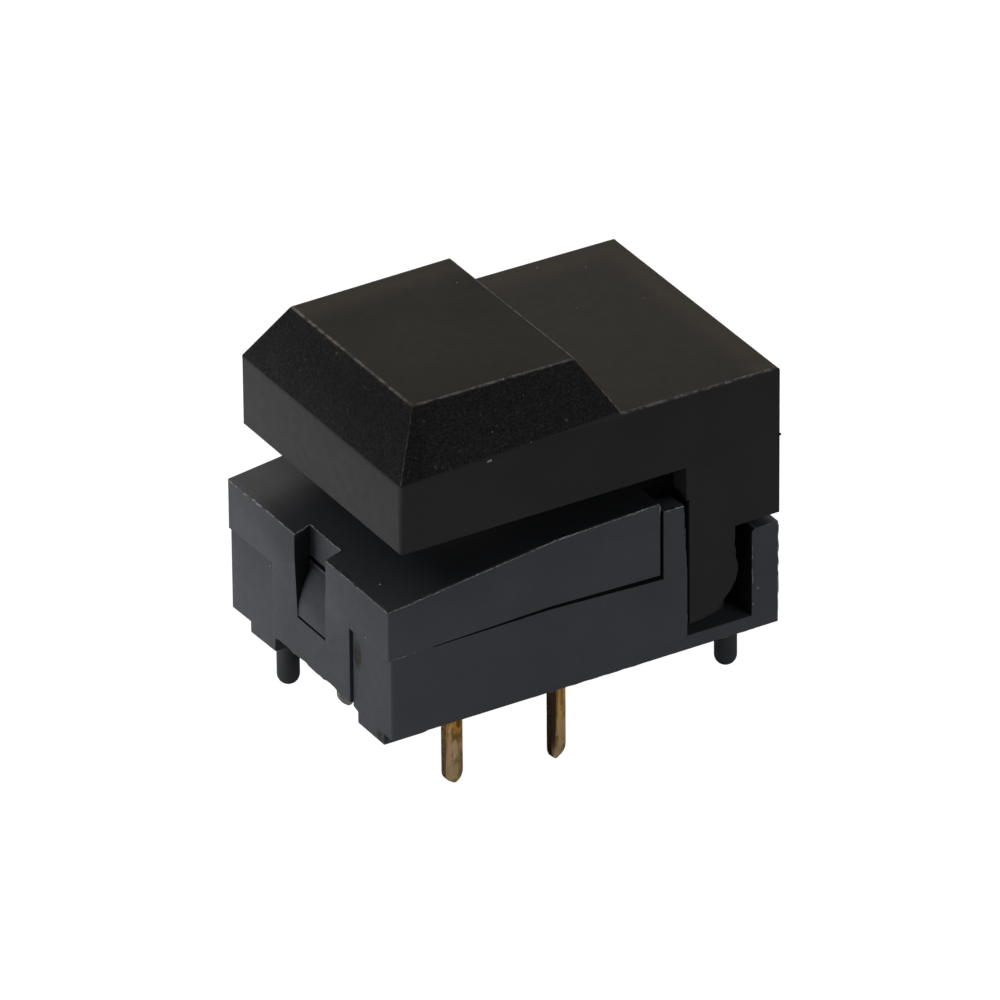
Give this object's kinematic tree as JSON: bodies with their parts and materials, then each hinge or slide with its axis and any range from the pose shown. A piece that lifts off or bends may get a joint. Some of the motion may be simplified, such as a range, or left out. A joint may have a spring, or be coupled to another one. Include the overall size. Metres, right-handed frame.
{
  "type": "tactile push button switch",
  "caption": "Board-mounted tactile push button switch: stepped black cap hinged at its rear over a slate grey snap-together housing, flat brass pins and moulded locating pegs.",
  "frame": {"origin": "midway between the two locating pegs, on the board's surface, where the feet stand", "axes": "+Z away from the board towards the cap; +X from the free end of the cap to its hinge; +Y across the switch"},
  "size_m": [0.0183, 0.0126, 0.0189],
  "materials": {
    "grey_plastic": "satin moulded slate grey plastic",
    "black_plastic": "fine-textured moulded black plastic",
    "natural_plastic": "smooth natural white plastic",
    "spring_steel": "bright spring steel",
    "brass": "rolled brass, a little tarnished"
  },
  "bodies": {
    "housing": {"base_housing": "grey_plastic", "top_cover": "grey_plastic", "rim_contact_strip": "brass", "centre_contact_strip": "brass", "snap_dome": "spring_steel"},
    "cap": {"button_cap": "black_plastic"},
    "plunger": {"plunger": "natural_plastic", "return_spring": "spring_steel", "pressure_spring": "spring_steel"},
    "pusher": {"dome_pusher": "natural_plastic"}
  },
  "joints": [
    {"name": "cap_hinge", "type": "hinge", "parent": "housing", "child": "cap", "pos_m": [0.00595, 0, 0.00525], "axis": [0, -1, 0], "range_deg": [0, 5.3], "stiffness_Nm_per_rad": 0.05, "springref_deg": -6.88},
    {"name": "plunger_slide", "type": "slide", "parent": "housing", "child": "plunger", "axis": [0, 0, -1], "range_m": [0, 0.00078], "deforming": ["return_spring", "pressure_spring"]},
    {"name": "pusher_slide", "type": "slide", "parent": "housing", "child": "pusher", "axis": [0, 0, -1], "range_m": [0, 0.00031], "deforming": ["snap_dome"]}
  ],
  "couplings": [
    {"joint": "plunger_slide", "follows": "cap_hinge", "m_per_rad": 0.008378},
    {"joint": "pusher_slide", "follows": "cap_hinge", "m_per_rad": 0.00324}
  ]
}
